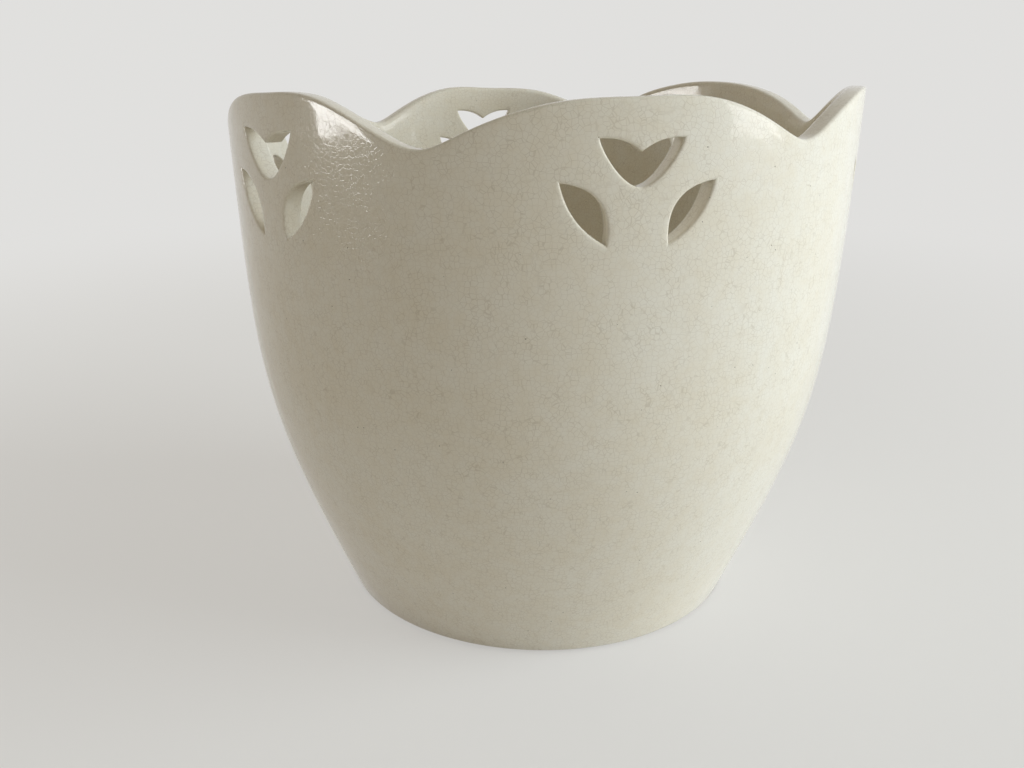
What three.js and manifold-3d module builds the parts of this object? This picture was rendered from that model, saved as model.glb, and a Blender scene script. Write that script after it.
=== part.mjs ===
// A glazed earthenware flower pot with a scalloped lip and a motif of leaves pierced through every lobe.
// Millimetres, +Z up. The foot stands on z = 0, the axis is the Z axis and the front lobe faces -Y.
// Angles round the pot are counted from the front lobe, towards +X.
import * as THREE from 'three';
import Module from 'manifold-3d';
import { mergeVertices } from 'three/addons/utils/BufferGeometryUtils.js';

// Outside of the wall
const LOBE_HEIGHT = 159.6;
const RIM_RADIUS = 95;
const FOOT_RADIUS = 66.1;
const SHOULDER_HEIGHT = 66.3;
const SHOULDER_BLEND = 35.3;

// Wall, lip, floor and foot ring of the finished pot
const WALL = 5.3;
const LIP_ROUND = 0.9;
const LIP_INNER_ROUND = 1.6;
const FLOOR = 6.5;
const FLOOR_FILLET = 12;
const FOOT_RECESS = 2.5;
const FOOT_ROUND = 1.5;
const FOOT_RING_WIDTH = 6;
const FOOT_RING_CHAMFER = 1;

// Glaze on the clay, the gap that keeps the two solids apart and the height where the glaze is wiped off
const GLAZE = 0.4;
const GLAZE_GAP = 0.3;
const GLAZE_LINE = 0.6;

// Scalloped lip, trimmed by hand. The trims are heights above the even scallop at equal steps round
// the lip, from the middle of the front lobe: a lobe's middle, its shoulder, both sides of the valley,
// a shoulder. The valley's roundness is a share of the way from a valley to the middle of a lobe.
const LOBES = 6;
const VALLEY_DROP = 11.5;
const VALLEY_SHARPNESS = 2.4;
const VALLEY_ROUND = 0.12;
const SCALLOP_START = 80;
const LIP_TRIMS = [
  -0.2, 0.9, 0.7, 1.2, 1.3,
  1.2, 1.5, 1.3, 0.5, 0.6,
  1.5, 2, 2.5, -0.5, -0.6,
  -1.2, 0.2, -0.9, -2.7, -1.5,
  -2, -1.6, -1.4, -0.4, -0.1,
  0, 1, -0.4, 0.2, 0,
];
const TRIM_TENSION = 0.5;

// Pierced motif, measured down from the top of its lobe and sideways from the lobe's middle.
// It is cut by hand, so from lobe to lobe it is a little taller, a little wider, and turned by some
// degrees round the pot. The fullnesses and the sink are shares of the chevron's half width and of
// its height, and set the swing of its edges.
const MOTIF_STRETCHES = [1, 1.05, 1.1, 1.05, 1.1, 1.15];
const MOTIF_WIDTHS = [1, 1.05, 1.1, 1.12, 1.1, 1.25];
const MOTIF_TURNS = [0.6, 4.8, 1.5, 2.2, -1, -0.5];
const CHEVRON_HALF_WIDTH = 9.9;
const CHEVRON_TIP_DROP = 8.8;
const CHEVRON_NOTCH_DROP = 11.7;
const CHEVRON_BOTTOM_DROP = 19.5;
const CHEVRON_TOP_BULGE = 1.9;
const CHEVRON_TOP_FULLNESS = 0.42;
const CHEVRON_SIDE_FULLNESS = 0.87;
const CHEVRON_SIDE_SINK = 0.4;
const CHEVRON_BASE_FULLNESS = 0.36;
const LEAF_ACROSS = 13.1;
const LEAF_DROP = 25.4;
const LEAF_LENGTH = 17.8;
const LEAF_TILT = 38;
const LEAF_INNER_BULGE = 4.6;
const LEAF_OUTER_BULGE = 2.1;
const CUTTER_REACH = 8;

// Fineness of the curves
const STEPS_ROUND = 72;
const WALL_STEPS = 7;
const WALL_STEP_EASE = 1.35;
const CORNER_STEPS = 2;
const OUTLINE_STEPS = 5;
const SOLVER_STEPS = 12;
const SLOPE_STEP = 0.5;
const SAME_POINT = 1e-6;

const wasm = await Module();
wasm.setup();

// A closed curve once round the lip, whose x is the trim
const lipTrim = new THREE.CatmullRomCurve3(
  LIP_TRIMS.map((trim) => new THREE.Vector3(trim, 0, 0)),
  true,
  'catmullrom',
  TRIM_TENSION,
);

// A soft ramp: zero far below x = 0, x far above it
function ramp(x) {
  return (x + Math.hypot(x, SHOULDER_BLEND)) / 2;
}

// Outer radius at a height: the wall flares from the foot, then turns upright round a soft shoulder
function wallRadius(height) {
  const atFoot = ramp(SHOULDER_HEIGHT);
  const atLip = ramp(SHOULDER_HEIGHT - LOBE_HEIGHT);
  const inward = (ramp(SHOULDER_HEIGHT - height) - atLip) / (atFoot - atLip);
  return RIM_RADIUS - (RIM_RADIUS - FOOT_RADIUS) * inward;
}

// How far the wall leans outwards at a height, in radians from upright
function wallLean(height) {
  const growth = wallRadius(height + SLOPE_STEP) - wallRadius(height - SLOPE_STEP);
  return Math.atan(growth / (2 * SLOPE_STEP));
}

// The point at a depth inside the wall, square to its outer face at a height
function insideWall(height, depth) {
  const lean = wallLean(height);
  return new THREE.Vector2(
    wallRadius(height) - depth * Math.cos(lean),
    height + depth * Math.sin(lean),
  );
}

// The height on the outer face whose point at a depth lies at the level asked for
function heightFacing(level, depth) {
  let height = level;
  for (let i = 0; i < SOLVER_STEPS; i += 1) {
    height = level - depth * Math.sin(wallLean(height));
  }
  return height;
}

// Points of a round corner, from one angle to another, both included
function corner(center, radius, fromAngle, toAngle) {
  const points = [];
  for (let i = 0; i <= CORNER_STEPS; i += 1) {
    const angle = THREE.MathUtils.lerp(fromAngle, toAngle, i / CORNER_STEPS);
    points.push(new THREE.Vector2(
      center.x + radius * Math.cos(angle),
      center.y + radius * Math.sin(angle),
    ));
  }
  return points;
}

// Points up the wall at a depth, between two heights on its outer face, neither included.
// They lie closer together low down, where the wall bends.
function wallRun(depth, lowHeight, highHeight) {
  const points = [];
  for (let i = 1; i < WALL_STEPS; i += 1) {
    const share = (i / WALL_STEPS) ** WALL_STEP_EASE;
    points.push(insideWall(THREE.MathUtils.lerp(lowHeight, highHeight, share), depth));
  }
  return points;
}

// Half section of the pot with every glazed face set in by an inset, from the axis to the axis
function section(inset) {
  const right = 0;
  const up = Math.PI / 2;
  const left = Math.PI;
  const down = -Math.PI / 2;
  const outerLevel = LOBE_HEIGHT - LIP_ROUND;
  const innerLevel = LOBE_HEIGHT - LIP_INNER_ROUND;
  const floorLevel = FOOT_RECESS + FLOOR;

  const footHeight = heightFacing(FOOT_ROUND - inset, FOOT_ROUND);
  const footCenter = insideWall(footHeight, FOOT_ROUND);
  const ringInside = FOOT_RADIUS - FOOT_ROUND - FOOT_RING_WIDTH;
  const filletDepth = WALL + FLOOR_FILLET;
  const filletHeight = heightFacing(floorLevel + FLOOR_FILLET, filletDepth);
  const filletCenter = insideWall(filletHeight, filletDepth);
  const outerLip = new THREE.Vector2(RIM_RADIUS - LIP_ROUND, outerLevel);
  const innerLip = new THREE.Vector2(RIM_RADIUS - WALL + LIP_INNER_ROUND, innerLevel);

  return [
    new THREE.Vector2(0, FOOT_RECESS),
    new THREE.Vector2(ringInside - FOOT_RING_CHAMFER, FOOT_RECESS),
    new THREE.Vector2(ringInside, 0),
    ...corner(footCenter, FOOT_ROUND - inset, down, -wallLean(footHeight)),
    ...wallRun(inset, footHeight, outerLevel),
    ...corner(outerLip, LIP_ROUND - inset, right, up),
    ...corner(innerLip, LIP_INNER_ROUND - inset, up, left),
    ...wallRun(WALL - inset, filletHeight, innerLevel).reverse(),
    ...corner(filletCenter, FLOOR_FILLET + inset, -wallLean(filletHeight), down),
    new THREE.Vector2(0, floorLevel - inset),
  ];
}

// Height of the lip at an angle: broad lobes with narrow rounded valleys between them, as trimmed
function lipHeight(angle) {
  const turns = THREE.MathUtils.euclideanModulo(angle / (2 * Math.PI), 1);
  const fromValley = Math.abs(2 * THREE.MathUtils.euclideanModulo(turns * LOBES, 1) - 1);
  const whole = Math.hypot(1, VALLEY_ROUND) - VALLEY_ROUND;
  const climb = Math.min((Math.hypot(fromValley, VALLEY_ROUND) - VALLEY_ROUND) / whole, 1);
  return LOBE_HEIGHT + lipTrim.getPoint(turns).x - VALLEY_DROP * (1 - climb) ** VALLEY_SHARPNESS;
}

// The value that belongs to a lobe
function lobeValue(values, lobe) {
  return values[(lobe % LOBES) % values.length];
}

// Lowers or raises the top of a turned wall to the scalloped lip, sliding each point along the wall
function scallop(geometry) {
  const position = geometry.getAttribute('position');
  for (let i = 0; i < position.count; i += 1) {
    const x = position.getX(i);
    const y = position.getY(i);
    const z = position.getZ(i);
    const share = THREE.MathUtils.smoothstep(z, SCALLOP_START, LOBE_HEIGHT - LIP_INNER_ROUND);
    if (share > 0) {
      const radius = Math.hypot(x, y);
      const height = z + share * (lipHeight(Math.atan2(x, -y)) - LOBE_HEIGHT);
      const moved = (radius + wallRadius(height) - wallRadius(z)) / radius;
      position.setXYZ(i, x * moved, y * moved, height);
    }
  }
}

// Turns a closed three.js geometry into a solid that can be joined and cut
function toSolid(geometry) {
  geometry.deleteAttribute('normal');
  geometry.deleteAttribute('uv');
  const merged = mergeVertices(geometry);
  const corners = merged.getIndex().array;
  const triangles = [];
  for (let i = 0; i < corners.length; i += 3) {
    const [a, b, c] = [corners[i], corners[i + 1], corners[i + 2]];
    if (a !== b && b !== c && c !== a) {
      triangles.push(a, b, c);
    }
  }
  return new wasm.Manifold(new wasm.Mesh({
    numProp: 3,
    vertProperties: new Float32Array(merged.getAttribute('position').array),
    triVerts: new Uint32Array(triangles),
  }));
}

// Turns a solid back into a three.js geometry
function toGeometry(solid) {
  const mesh = solid.getMesh();
  const geometry = new THREE.BufferGeometry();
  geometry.setAttribute('position', new THREE.BufferAttribute(mesh.vertProperties, mesh.numProp));
  geometry.setIndex(new THREE.BufferAttribute(mesh.triVerts, 1));
  geometry.computeVertexNormals();
  return geometry;
}

// The chevron at the top of the motif: two leaves run together, with a notch between their tips
function chevronOutline(stretch, width) {
  const drop = (value) => -CHEVRON_TIP_DROP - (value - CHEVRON_TIP_DROP) * stretch;
  const tipLevel = -CHEVRON_TIP_DROP;
  const notchLevel = drop(CHEVRON_NOTCH_DROP);
  const bottomLevel = drop(CHEVRON_BOTTOM_DROP);
  const tipX = CHEVRON_HALF_WIDTH * width;
  const topX = tipX * CHEVRON_TOP_FULLNESS;
  const topY = (tipLevel + notchLevel) / 2 + CHEVRON_TOP_BULGE;
  const sideX = tipX * CHEVRON_SIDE_FULLNESS;
  const sideY = THREE.MathUtils.lerp(tipLevel, bottomLevel, CHEVRON_SIDE_SINK);
  const baseX = tipX * CHEVRON_BASE_FULLNESS;
  const shape = new THREE.Shape();
  shape.moveTo(0, notchLevel);
  shape.quadraticCurveTo(-topX, topY, -tipX, tipLevel);
  shape.bezierCurveTo(-sideX, sideY, -baseX, bottomLevel, 0, bottomLevel);
  shape.bezierCurveTo(baseX, bottomLevel, sideX, sideY, tipX, tipLevel);
  shape.quadraticCurveTo(topX, topY, 0, notchLevel);
  return shape.getPoints(OUTLINE_STEPS);
}

// A leaf beside the chevron: side 1 is to the right of the lobe's middle, side -1 to the left
function leafOutline(side, stretch, width) {
  const shape = new THREE.Shape();
  const half = LEAF_LENGTH / 2;
  shape.moveTo(0, half);
  shape.quadraticCurveTo(-2 * LEAF_INNER_BULGE, 0, 0, -half);
  shape.quadraticCurveTo(2 * LEAF_OUTER_BULGE, 0, 0, half);
  const middle = -CHEVRON_TIP_DROP - (LEAF_DROP - CHEVRON_TIP_DROP) * stretch;
  const origin = new THREE.Vector2();
  return shape.getPoints(OUTLINE_STEPS).map((point) => {
    point.rotateAround(origin, -THREE.MathUtils.degToRad(LEAF_TILT));
    return new THREE.Vector2(side * point.x * width, middle + point.y * stretch);
  });
}

// The same outline with every edge moved outwards by a distance and its corners kept sharp
function grow(outline, distance) {
  const loop = outline.filter((point, i) => point.distanceTo(outline.at(i - 1)) > SAME_POINT);
  const outward = THREE.ShapeUtils.isClockWise(loop) ? -distance : distance;
  return loop.map((point, i) => {
    const before = point.clone().sub(loop.at(i - 1)).normalize();
    const after = loop[(i + 1) % loop.length].clone().sub(point).normalize();
    const miter = before.clone().add(after).normalize();
    const reach = outward / miter.dot(before);
    return new THREE.Vector2(point.x + miter.y * reach, point.y - miter.x * reach);
  });
}

// A cutter that drives an outline through the wall, square to it at an angle round the pot
function wallCutter(outline, top, angle, inset) {
  const cutter = new THREE.ExtrudeGeometry(new THREE.Shape(grow(outline, inset)), {
    depth: WALL + 2 * CUTTER_REACH,
    bevelEnabled: false,
  });
  cutter.translate(0, top, RIM_RADIUS - WALL - CUTTER_REACH);
  cutter.rotateX(Math.PI / 2);
  cutter.rotateZ(angle);
  return toSolid(cutter);
}

// Cuts the motif through each lobe
function pierce(solid, inset) {
  const leafAngle = LEAF_ACROSS / RIM_RADIUS;
  let pierced = solid;
  for (let lobe = 0; lobe < LOBES; lobe += 1) {
    const turn = THREE.MathUtils.degToRad(lobeValue(MOTIF_TURNS, lobe));
    const angle = (lobe / LOBES) * 2 * Math.PI + turn;
    const top = lipHeight(angle);
    const stretch = lobeValue(MOTIF_STRETCHES, lobe);
    const width = lobeValue(MOTIF_WIDTHS, lobe);
    pierced = pierced.subtract(wallCutter(chevronOutline(stretch, width), top, angle, inset));
    for (const side of [-1, 1]) {
      const outline = leafOutline(side, stretch, width);
      const cutter = wallCutter(outline, top, angle + side * leafAngle, inset);
      pierced = pierced.subtract(cutter);
    }
  }
  return pierced;
}

// The whole pot as one solid, with every glazed face set in by an inset
function potSolid(inset) {
  const turned = new THREE.LatheGeometry(section(inset), STEPS_ROUND);
  turned.rotateX(Math.PI / 2);
  scallop(turned);
  return pierce(toSolid(turned), inset);
}

// Everything below the line where the glaze is wiped off the foot
function wipedZone() {
  const zone = new THREE.CylinderGeometry(RIM_RADIUS, RIM_RADIUS, 2 * GLAZE_LINE, STEPS_ROUND);
  zone.rotateX(Math.PI / 2);
  return toSolid(zone);
}

// The fired clay: wall, floor and bare foot ring in one piece
function clayBody() {
  return potSolid(GLAZE + GLAZE_GAP);
}

// The glaze: one glassy skin over the outside, the lip, the edges of the motif and the inside
function glazeCoat() {
  return potSolid(0).subtract(potSolid(GLAZE)).subtract(wipedZone());
}

function namedMesh(name, solid, material) {
  const mesh = new THREE.Mesh(toGeometry(solid), new THREE.MeshStandardMaterial(material));
  mesh.name = name;
  return mesh;
}

const flowerPot = new THREE.Group();
flowerPot.add(namedMesh('clay_body', clayBody(), { color: 0xd8c4a6, roughness: 0.9, metalness: 0 }));
flowerPot.add(namedMesh('glaze_coat', glazeCoat(), { color: 0xe6e0d0, roughness: 0.18, metalness: 0 }));

export default flowerPot;
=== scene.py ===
"""A glazed earthenware flower pot with a scalloped, pierced lip, finished on its construction frame.

Metres, +Z up. The foot stands on z = 0, the axis is the Z axis and the front lobe faces -Y.
Angles round the pot are counted from the front lobe, towards +X.
"""

from math import asin, atan, atan2, cos, hypot, pi, radians, sin, sqrt, tau
from types import SimpleNamespace

import bmesh
import bpy
from bpy.props import FloatProperty, FloatVectorProperty, IntProperty, PointerProperty
from mathutils import Euler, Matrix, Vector, noise
from mathutils.geometry import interpolate_bezier, intersect_line_line_2d, intersect_point_line


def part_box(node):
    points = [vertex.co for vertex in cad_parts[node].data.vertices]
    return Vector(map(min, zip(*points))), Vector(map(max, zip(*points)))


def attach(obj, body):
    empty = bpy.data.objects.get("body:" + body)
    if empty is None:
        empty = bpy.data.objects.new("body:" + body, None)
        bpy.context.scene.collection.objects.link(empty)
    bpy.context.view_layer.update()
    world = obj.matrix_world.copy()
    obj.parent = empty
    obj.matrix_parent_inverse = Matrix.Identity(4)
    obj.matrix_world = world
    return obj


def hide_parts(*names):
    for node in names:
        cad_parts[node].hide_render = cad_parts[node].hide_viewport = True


bl_info = {
    "name": "Pierced Flower Pot",
    "version": (1, 0, 0),
    "blender": (4, 5, 0),
    "location": "3D View > Sidebar > Flower Pot",
    "description": "Models a glazed flower pot with a scalloped, pierced lip, and a studio round it",
    "category": "Add Mesh",
}

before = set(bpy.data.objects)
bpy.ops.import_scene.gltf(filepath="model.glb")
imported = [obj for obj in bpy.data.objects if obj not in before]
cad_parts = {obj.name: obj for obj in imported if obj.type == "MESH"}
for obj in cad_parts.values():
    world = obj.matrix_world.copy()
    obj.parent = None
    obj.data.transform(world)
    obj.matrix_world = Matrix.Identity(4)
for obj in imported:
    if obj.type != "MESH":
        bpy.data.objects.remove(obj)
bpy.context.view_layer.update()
GLAZE_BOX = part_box("glaze_coat")
MM = 0.001

# Fineness of the meshes
COLUMNS = 384
DENSE_SHARE = 0.58
DENSE_BLEND = 0.1
DENSE_REACH = 0.42
BAND_STEP = 1.25 * MM
BAND_MARGIN = 2 * MM
WALL_STEP = 8 * MM
LIP_STEPS = 4
FOOT_STEPS = 4
FILLET_STEPS = 6
FLOOR_STEPS = 3
RING_STEPS = 4
CURVE_POINTS = 16
CORNER_TURN = radians(30)
RIDGE_ANGLE = radians(50)
STAGE_RADIUS = 6
STAGE_STEPS = 96
SNAP_SHARE = 0.3
EDGE_STEPS = 3
LINING_STEPS = 3
MERGE_DISTANCE = 0.05 * MM
RIM_MERGE_DISTANCE = 0.15 * MM
SOLVER_STEPS = 12
SLOPE_STEP = 0.5 * MM

# Draw of the noise that makes the faces uneven, the same for clay and glaze and in every run
UNEVEN_SEED = 1

# Shares of the cloudy patches, the mottling and the finest mottling in the thickness of the glaze
PATCH_SHARE = 0.5
MOTTLE_SHARE = 0.35
FINE_SHARE = 0.15

# Clouds: detail and roughness of the noise, and its values at the start and end of a cloud
CLOUD_DETAIL = 3
CLOUD_ROUGHNESS = 0.55
CLOUD_RANGE = 0.3, 0.7

# Full middle of a speck, as a share of its radius
SPECK_CORE = 0.6

# Crazing: bends and faint stretches to a cell, swing of the bends in cells, randomness of the cells,
# the dark core of a crack as a share of its width, how strong its faintest stretches are, and the
# values of the noise where they start and end
CRAZE_BENDS = 0.6
CRAZE_FADES = 0.35
CRAZE_SWING = 0.45
CRAZE_RANDOMNESS = 0.8
CRAZE_CORE = 0.25
CRAZE_FAINTEST = 0.45
CRAZE_FADE_RANGE = 0.35, 0.62


def length(name, description, default):
    """A size in metres that a user may change."""
    return FloatProperty(
        name=name, description=description, default=default, precision=5,
        unit="LENGTH", subtype="DISTANCE",
    )


def share(name, description, default):
    """A share or factor that a user may change."""
    return FloatProperty(name=name, description=description, default=default)


def degrees(name, description, default):
    """An angle that a user may change, with its default in degrees."""
    return FloatProperty(name=name, description=description, default=radians(default), subtype="ANGLE")


def row(name, description, default):
    """A row of numbers that a user may change."""
    return FloatVectorProperty(name=name, description=description, default=default, size=len(default))


def colour(name, description, default):
    """A linear colour that a user may change."""
    return FloatVectorProperty(
        name=name, description=description, default=default,
        subtype="COLOR", size=3, min=0, max=1,
    )


class PotSizes(bpy.types.PropertyGroup):
    """Sizes of the turned pot, its lip and the glaze on it."""

    rim_radius: length("Rim Radius", "Outer radius at the lip", (GLAZE_BOX[1].y - GLAZE_BOX[0].y) / 2)
    lobe_height: length("Lobe Height", "Mean height of the lobes of the lip", 159.6 * MM)
    foot_radius: length("Foot Radius", "Outer radius of the wall at the ground", 66.1 * MM)
    shoulder_height: length("Shoulder Height", "Height where the wall turns upright", 66.3 * MM)
    shoulder_blend: length("Shoulder Blend", "Softness of that turn", 35.3 * MM)
    wall: length("Wall", "Thickness of the glazed wall", 5.3 * MM)
    lip_round: length("Lip Round", "Radius of the lip's outer edge", 0.9 * MM)
    lip_inner_round: length("Lip Inner Round", "Radius of the lip's inner edge", 1.6 * MM)
    floor: length("Floor", "Thickness of the glazed floor", 6.5 * MM)
    floor_fillet: length("Floor Fillet", "Radius between floor and wall inside", 12 * MM)
    foot_recess: length("Foot Recess", "Depth of the hollow inside the foot ring", 2.5 * MM)
    foot_round: length("Foot Round", "Radius of the foot's outer edge", 1.5 * MM)
    foot_ring_width: length("Foot Ring Width", "Width of the foot ring", 6 * MM)
    foot_ring_chamfer: length("Foot Ring Chamfer", "Slope inside the foot ring", 1 * MM)
    glaze: length("Glaze", "Thickness of the glaze", 0.4 * MM)
    clay_inset: length("Clay Inset", "How far the clay lies inside the glazed faces", 0.7 * MM)
    glaze_line: length("Glaze Line", "Height where the glaze is wiped off", GLAZE_BOX[0].z)
    glaze_roll: length("Glaze Roll", "How far the glaze rounds in at the glaze line", 0.2 * MM)
    lobes: IntProperty(name="Lobes", description="Lobes round the lip", default=6)
    lip_trims: row(
        "Lip Trims", "Millimetres above the even scallop, round the lip",
        (
            -0.2, 0.9, 0.7, 1.2, 1.3, 1.2, 1.5, 1.3, 0.5, 0.6, 1.5, 2, 2.5, -0.5, -0.6,
            -1.2, 0.2, -0.9, -2.7, -1.5, -2, -1.6, -1.4, -0.4, -0.1, 0, 1, -0.4, 0.2, 0,
        ),
    )
    valley_drop: length("Valley Drop", "Depth of the valleys between lobes", 11.5 * MM)
    valley_sharpness: share("Valley Sharpness", "Power that narrows the valleys", 2.4)
    valley_round: share("Valley Round", "Roundness of the valleys, as a share of half a lobe", 0.12)
    scallop_start: length("Scallop Start", "Height above which the wall follows the lobes", 80 * MM)
    unevenness: length("Unevenness", "How far the hand-finished faces wander", 0.12 * MM)
    uneven_span: length("Uneven Span", "Distance over which they wander", 40 * MM)


class MotifSizes(bpy.types.PropertyGroup):
    """Sizes of the cut-outs, down from the top of a lobe and sideways from its middle."""

    stretches: row("Stretches", "How tall the motif is in each lobe", (1, 1.05, 1.1, 1.05, 1.1, 1.15))
    widths: row("Widths", "How wide the motif is in each lobe", (1, 1.05, 1.1, 1.12, 1.1, 1.25))
    turns: row("Turns", "Degrees from the middle of each lobe to its motif", (0.6, 4.8, 1.5, 2.2, -1, -0.5))
    half_width: length("Chevron Half Width", "From the lobe's middle to a tip", 9.9 * MM)
    tip_drop: length("Chevron Tip Drop", "From the lobe's top to the tips", 8.8 * MM)
    notch_drop: length("Chevron Notch Drop", "From the lobe's top to the notch", 11.7 * MM)
    bottom_drop: length("Chevron Bottom Drop", "From the lobe's top to the bottom", 19.5 * MM)
    top_bulge: length("Chevron Top Bulge", "Rise of the top edges between notch and tips", 1.9 * MM)
    top_fullness: share("Chevron Top Fullness", "Where the top edges swing", 0.42)
    side_fullness: share("Chevron Side Fullness", "Where the side edges swing", 0.87)
    side_sink: share("Chevron Side Sink", "How far down the side edges swing", 0.4)
    base_fullness: share("Chevron Base Fullness", "How wide the bottom is", 0.36)
    leaf_across: length("Leaf Across", "From the lobe's middle to a leaf's middle", 13.1 * MM)
    leaf_drop: length("Leaf Drop", "From the lobe's top to a leaf's middle", 25.4 * MM)
    leaf_length: length("Leaf Length", "From tip to tip", 17.8 * MM)
    leaf_tilt: degrees("Leaf Tilt", "Lean of a leaf from upright", 38)
    leaf_inner_bulge: length("Leaf Inner Bulge", "Belly on the side of the chevron", 4.6 * MM)
    leaf_outer_bulge: length("Leaf Outer Bulge", "Belly on the other side", 2.1 * MM)
    edge_round: length("Edge Round", "Radius of the glazed edges of the cut-outs", 0.6 * MM)
    clay_edge_round: length("Clay Edge Round", "Radius of the same edges of the clay", 0.2 * MM)


class GlazeFinish(bpy.types.PropertyGroup):
    """Colours and grain of the crackled glaze."""

    ivory: colour("Ivory", "Where the glaze lies thick", (0.8, 0.77, 0.685))
    warm_ivory: colour("Warm Ivory", "Where the glaze lies thin", (0.76, 0.705, 0.585))
    cloud_span: length("Cloud Span", "Size of the cloudy patches", 26 * MM)
    mottle_span: length("Mottle Span", "Size of the mottling in them", 3.25 * MM)
    fine_span: length("Fine Span", "Size of the finest mottling", 0.65 * MM)
    craze_colour: colour("Craze Colour", "Stain in the fine cracks", (0.33, 0.25, 0.15))
    craze_cell: length("Craze Cell", "Distance between the fine cracks", 1.35 * MM)
    craze_width: length("Craze Width", "Width of a crack with its stain", 0.09 * MM)
    craze_strength: share("Craze Strength", "How strongly the stain shows", 0.24)
    large_craze_cell: length("Large Craze Cell", "Distance between the main cracks", 3.51 * MM)
    large_craze_width: length("Large Craze Width", "Width of a main crack", 0.117 * MM)
    large_craze_share: share("Large Craze Share", "Stain of the main cracks beside the fine", 0.4)
    craze_depth: length("Craze Depth", "How far the cracks lie below the glaze", 0.008 * MM)
    craze_roughness: share("Craze Roughness", "Roughness that the cracks add", 0.15)
    swell_depth: length("Swell Depth", "Height of the glaze's soft swells", 0.05 * MM)
    mottle_depth: length("Mottle Depth", "Height of the mottling", 0.006 * MM)
    # Pinholes are painted darker than the glaze round them, towards the pinhole colour
    pinhole_colour: colour("Pinhole Colour", "Colour inside a pinhole", (0.11, 0.075, 0.04))
    pinhole_size: length("Pinhole Size", "Largest radius of a pinhole", 0.19 * MM)
    pinhole_spacing: length("Pinhole Spacing", "Distance between places for pinholes", 1.52 * MM)
    pinhole_amount: share("Pinhole Amount", "Share of the places that hold a pinhole", 0.03)
    pinhole_depth: length("Pinhole Depth", "Depth of a pinhole", 0.1 * MM)
    pinhole_darkening: share("Pinhole Darkening", "How far a pinhole is darkened", 0.8)
    roughness: share("Roughness", "Roughness of the clean glaze", 0.04)
    patch_roughness: share("Patch Roughness", "Roughness that the cloudy patches add", 0.03)


class ClayFinish(bpy.types.PropertyGroup):
    """Colours and grain of the bare fired clay."""

    buff: colour("Buff", "Main colour of the clay", (0.64, 0.5, 0.33))
    pale_buff: colour("Pale Buff", "Paler patches of the clay", (0.74, 0.62, 0.45))
    patch_span: length("Patch Span", "Size of the patches", 14 * MM)
    grain_span: length("Grain Span", "Size of the grain", 0.46667 * MM)
    grain_share: share("Grain Share", "How far the grain shows beside the patches", 0.4)
    grain_height: length("Grain Height", "Height of the grain and the grit", 0.05 * MM)
    roughness: share("Roughness", "Roughness of the clay", 0.88)
    grit_colour: colour("Grit Colour", "Colour of the grit in the clay", (0.2, 0.12, 0.07))
    grit_size: length("Grit Size", "Largest radius of a grain of grit", 0.3 * MM)
    grit_spacing: length("Grit Spacing", "Distance between places for grit", 1.5 * MM)
    grit_amount: share("Grit Amount", "Share of the places that hold a grain", 0.18)
    grit_stain: share("Grit Stain", "How strongly a grain shows", 0.6)
    ring_spacing: length("Ring Spacing", "Distance between the turning rings", 2.2 * MM)
    ring_depth: length("Ring Depth", "Depth of the turning rings under the foot", 0.12 * MM)


class StudioSetting(bpy.types.PropertyGroup):
    """Floor, lamps and camera."""

    floor: colour("Floor", "Colour of the floor", (0.8, 0.79, 0.77))
    floor_roughness: share("Floor Roughness", "Roughness of the floor", 0.7)
    backdrop: colour("Backdrop", "Colour behind the floor", (0.75, 0.745, 0.73))
    ambient: colour("Ambient", "Colour of the light from all round", (1, 0.885, 0.69))
    ambient_strength: share("Ambient Strength", "Strength of the light from all round", 0.3)
    floor_glow: share("Floor Glow", "Share of the backdrop's tone in the floor beside the pot", 0.58)
    fade_start: length("Fade Start", "Where the floor starts to melt into the backdrop", 0.1)
    fade_end: length("Fade End", "Where the floor is one with the backdrop", 0.85)
    lens: FloatProperty(name="Lens", description="Focal length in millimetres", default=32.34)
    eye: FloatVectorProperty(
        name="Eye", description="Where the camera stands", default=(-0.0683, -0.2936, 0.1643),
        subtype="TRANSLATION", size=3, precision=4,
    )
    pitch: degrees("Pitch", "How far the camera looks down", 18.705)
    heading: degrees("Heading", "How far the camera turns to the right of +Y", 11.33)


def plain(group):
    """A property group's values as plain Python values."""
    return SimpleNamespace(**{name: getattr(group, name) for name in type(group).__annotations__})


def ramp(x, blend):
    """Zero far below x = 0, and x far above it."""
    return (x + hypot(x, blend)) / 2


def smoothstep(x, low, high):
    """Zero at low, one at high, and level at both."""
    t = min(max((x - low) / (high - low), 0), 1)
    return t * t * (3 - 2 * t)


def mix(a, b, factor):
    return a + (b - a) * factor


def wall_radius(pot, height):
    """Outer radius at a height: the wall flares from the foot, then turns upright."""
    at_foot = ramp(pot.shoulder_height, pot.shoulder_blend)
    at_lip = ramp(pot.shoulder_height - pot.lobe_height, pot.shoulder_blend)
    here = ramp(pot.shoulder_height - height, pot.shoulder_blend)
    return pot.rim_radius - (pot.rim_radius - pot.foot_radius) * (here - at_lip) / (at_foot - at_lip)


def wall_lean(pot, height):
    """How far the wall leans outwards at a height, in radians from upright."""
    growth = wall_radius(pot, height + SLOPE_STEP) - wall_radius(pot, height - SLOPE_STEP)
    return atan(growth / (2 * SLOPE_STEP))


def inside_wall(pot, height, depth):
    """The point of the half section at a depth inside the wall, square to its outer face."""
    lean = wall_lean(pot, height)
    return Vector((wall_radius(pot, height) - depth * cos(lean), height + depth * sin(lean)))


def height_facing(pot, level, depth):
    """The height on the outer face whose point at a depth lies at a level."""
    height = level
    for _ in range(SOLVER_STEPS):
        height = level - depth * sin(wall_lean(pot, height))
    return height


def at_level(pot, level, depth):
    return inside_wall(pot, height_facing(pot, level, depth), depth)


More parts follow.
